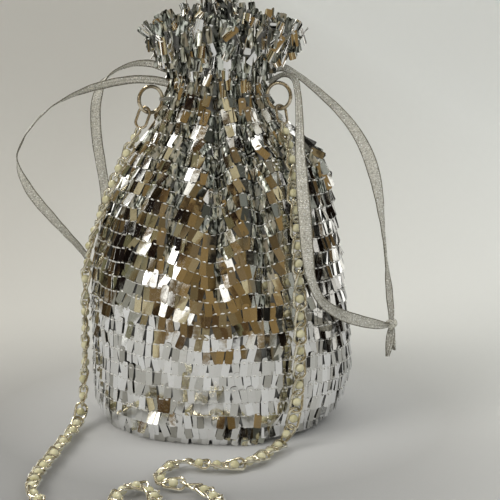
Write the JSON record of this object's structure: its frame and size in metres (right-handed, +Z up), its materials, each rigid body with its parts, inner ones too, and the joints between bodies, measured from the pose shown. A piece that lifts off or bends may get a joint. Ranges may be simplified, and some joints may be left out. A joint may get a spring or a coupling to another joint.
{
  "type": "drawstring purse",
  "caption": "Soft drawstring pouch purse of mirrored sequin cloth with a gathered neck, ruffled top, sheer ribbon drawstrings and a beaded chain strap laid in front.",
  "frame": {"origin": "middle of the flat base, on the surface that the purse stands on", "axes": "+Z up, -Y towards the front that the picture shows, +X to the right seen from the front"},
  "size_m": [0.2128, 0.2374, 0.2314],
  "materials": {
    "cloth": "silver grey sequin cloth",
    "sequin": "mirror silver film",
    "thread": "pale silver sewing thread",
    "ribbon": "sheer silver organza",
    "metal": "polished warm nickel",
    "pearl": "ivory pearl lustre"
  },
  "bodies": {
    "root": {"pouch": "cloth", "ribbon_left_upper": "ribbon", "ribbon_left_lower": "ribbon", "ribbon_right_outer": "ribbon", "ribbon_right_front": "ribbon", "knot_left": "ribbon", "knot_right": "ribbon", "ring_left": "metal", "link_left": "metal", "ring_loop_left": "thread", "ring_right": "metal", "link_right": "metal", "ring_loop_right": "thread", "chain_left": "metal", "chain_right": "metal"}
  },
  "joints": []
}
